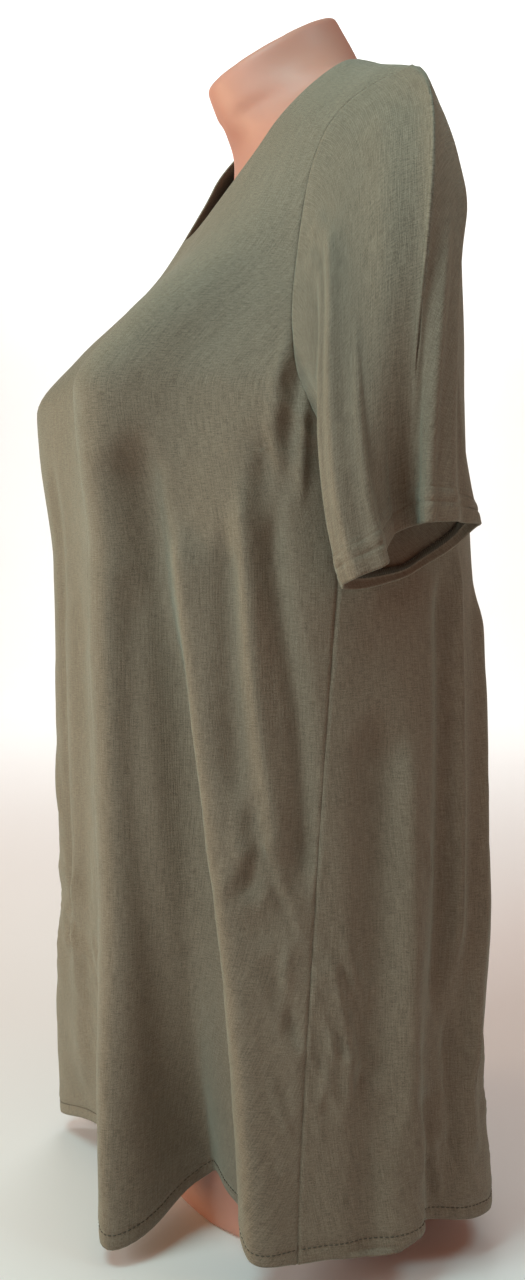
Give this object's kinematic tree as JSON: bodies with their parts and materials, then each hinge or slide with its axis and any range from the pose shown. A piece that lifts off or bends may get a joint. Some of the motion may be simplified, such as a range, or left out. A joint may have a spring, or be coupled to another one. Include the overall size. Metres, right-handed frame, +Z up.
{
  "type": "t-shirt on a dress form",
  "caption": "Tunic-length A-line jersey t-shirt with short sleeves and a scoop neck, worn by a limbless dress form that stands on its flat base.",
  "frame": {"origin": "middle of the dress form's flat base", "axes": "+Z up, -Y the wearer's front, +X the wearer's left"},
  "size_m": [0.5, 0.3053, 0.8843],
  "materials": {
    "olive_jersey": "matte fine-gauge jersey with a slight sheen",
    "skin_tone_plastic": "satin moulded plastic"
  },
  "bodies": {
    "root": {"front_panel": "olive_jersey", "back_panel": "olive_jersey", "sleeve_left": "olive_jersey", "sleeve_right": "olive_jersey", "dress_form": "skin_tone_plastic"}
  },
  "joints": []
}
